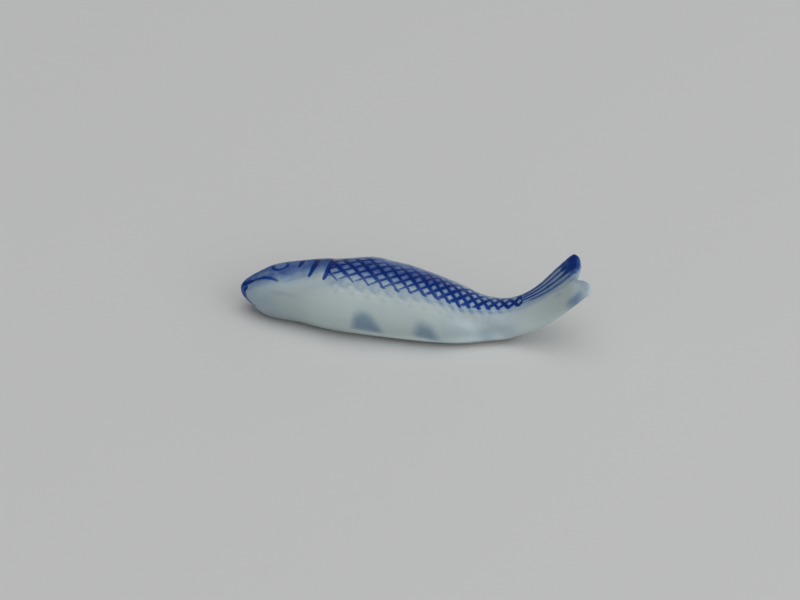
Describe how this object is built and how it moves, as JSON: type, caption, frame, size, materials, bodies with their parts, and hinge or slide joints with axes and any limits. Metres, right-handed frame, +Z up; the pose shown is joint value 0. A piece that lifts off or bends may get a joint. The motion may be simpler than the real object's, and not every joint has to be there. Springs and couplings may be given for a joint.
{
  "type": "chopstick rest",
  "caption": "Small porcelain chopstick rest shaped as a fish lying on its side, painted in blue under a clear glaze, with a saddle before its upturned tail to hold chopstick tips off the table.",
  "frame": {"origin": "on the table, under the middle of the fish's length and width", "axes": "+Z up, +X from the head to the tail, +Y from the belly to the back of the fish"},
  "size_m": [0.0681, 0.0174, 0.0165],
  "materials": {
    "porcelain": "bare fired biscuit, dry and matt",
    "cobalt": "underglaze cobalt brushwork",
    "glaze": "clear, faintly blue, high gloss"
  },
  "bodies": {
    "root": {"porcelain_body": "porcelain", "cobalt_flank_wash": "cobalt", "cobalt_eye_ring": "cobalt", "cobalt_mouth_line": "cobalt", "cobalt_gill_strokes": "cobalt", "cobalt_tail_rays": "cobalt", "cobalt_fin_dabs": "cobalt", "clear_glaze": "glaze"}
  },
  "joints": []
}
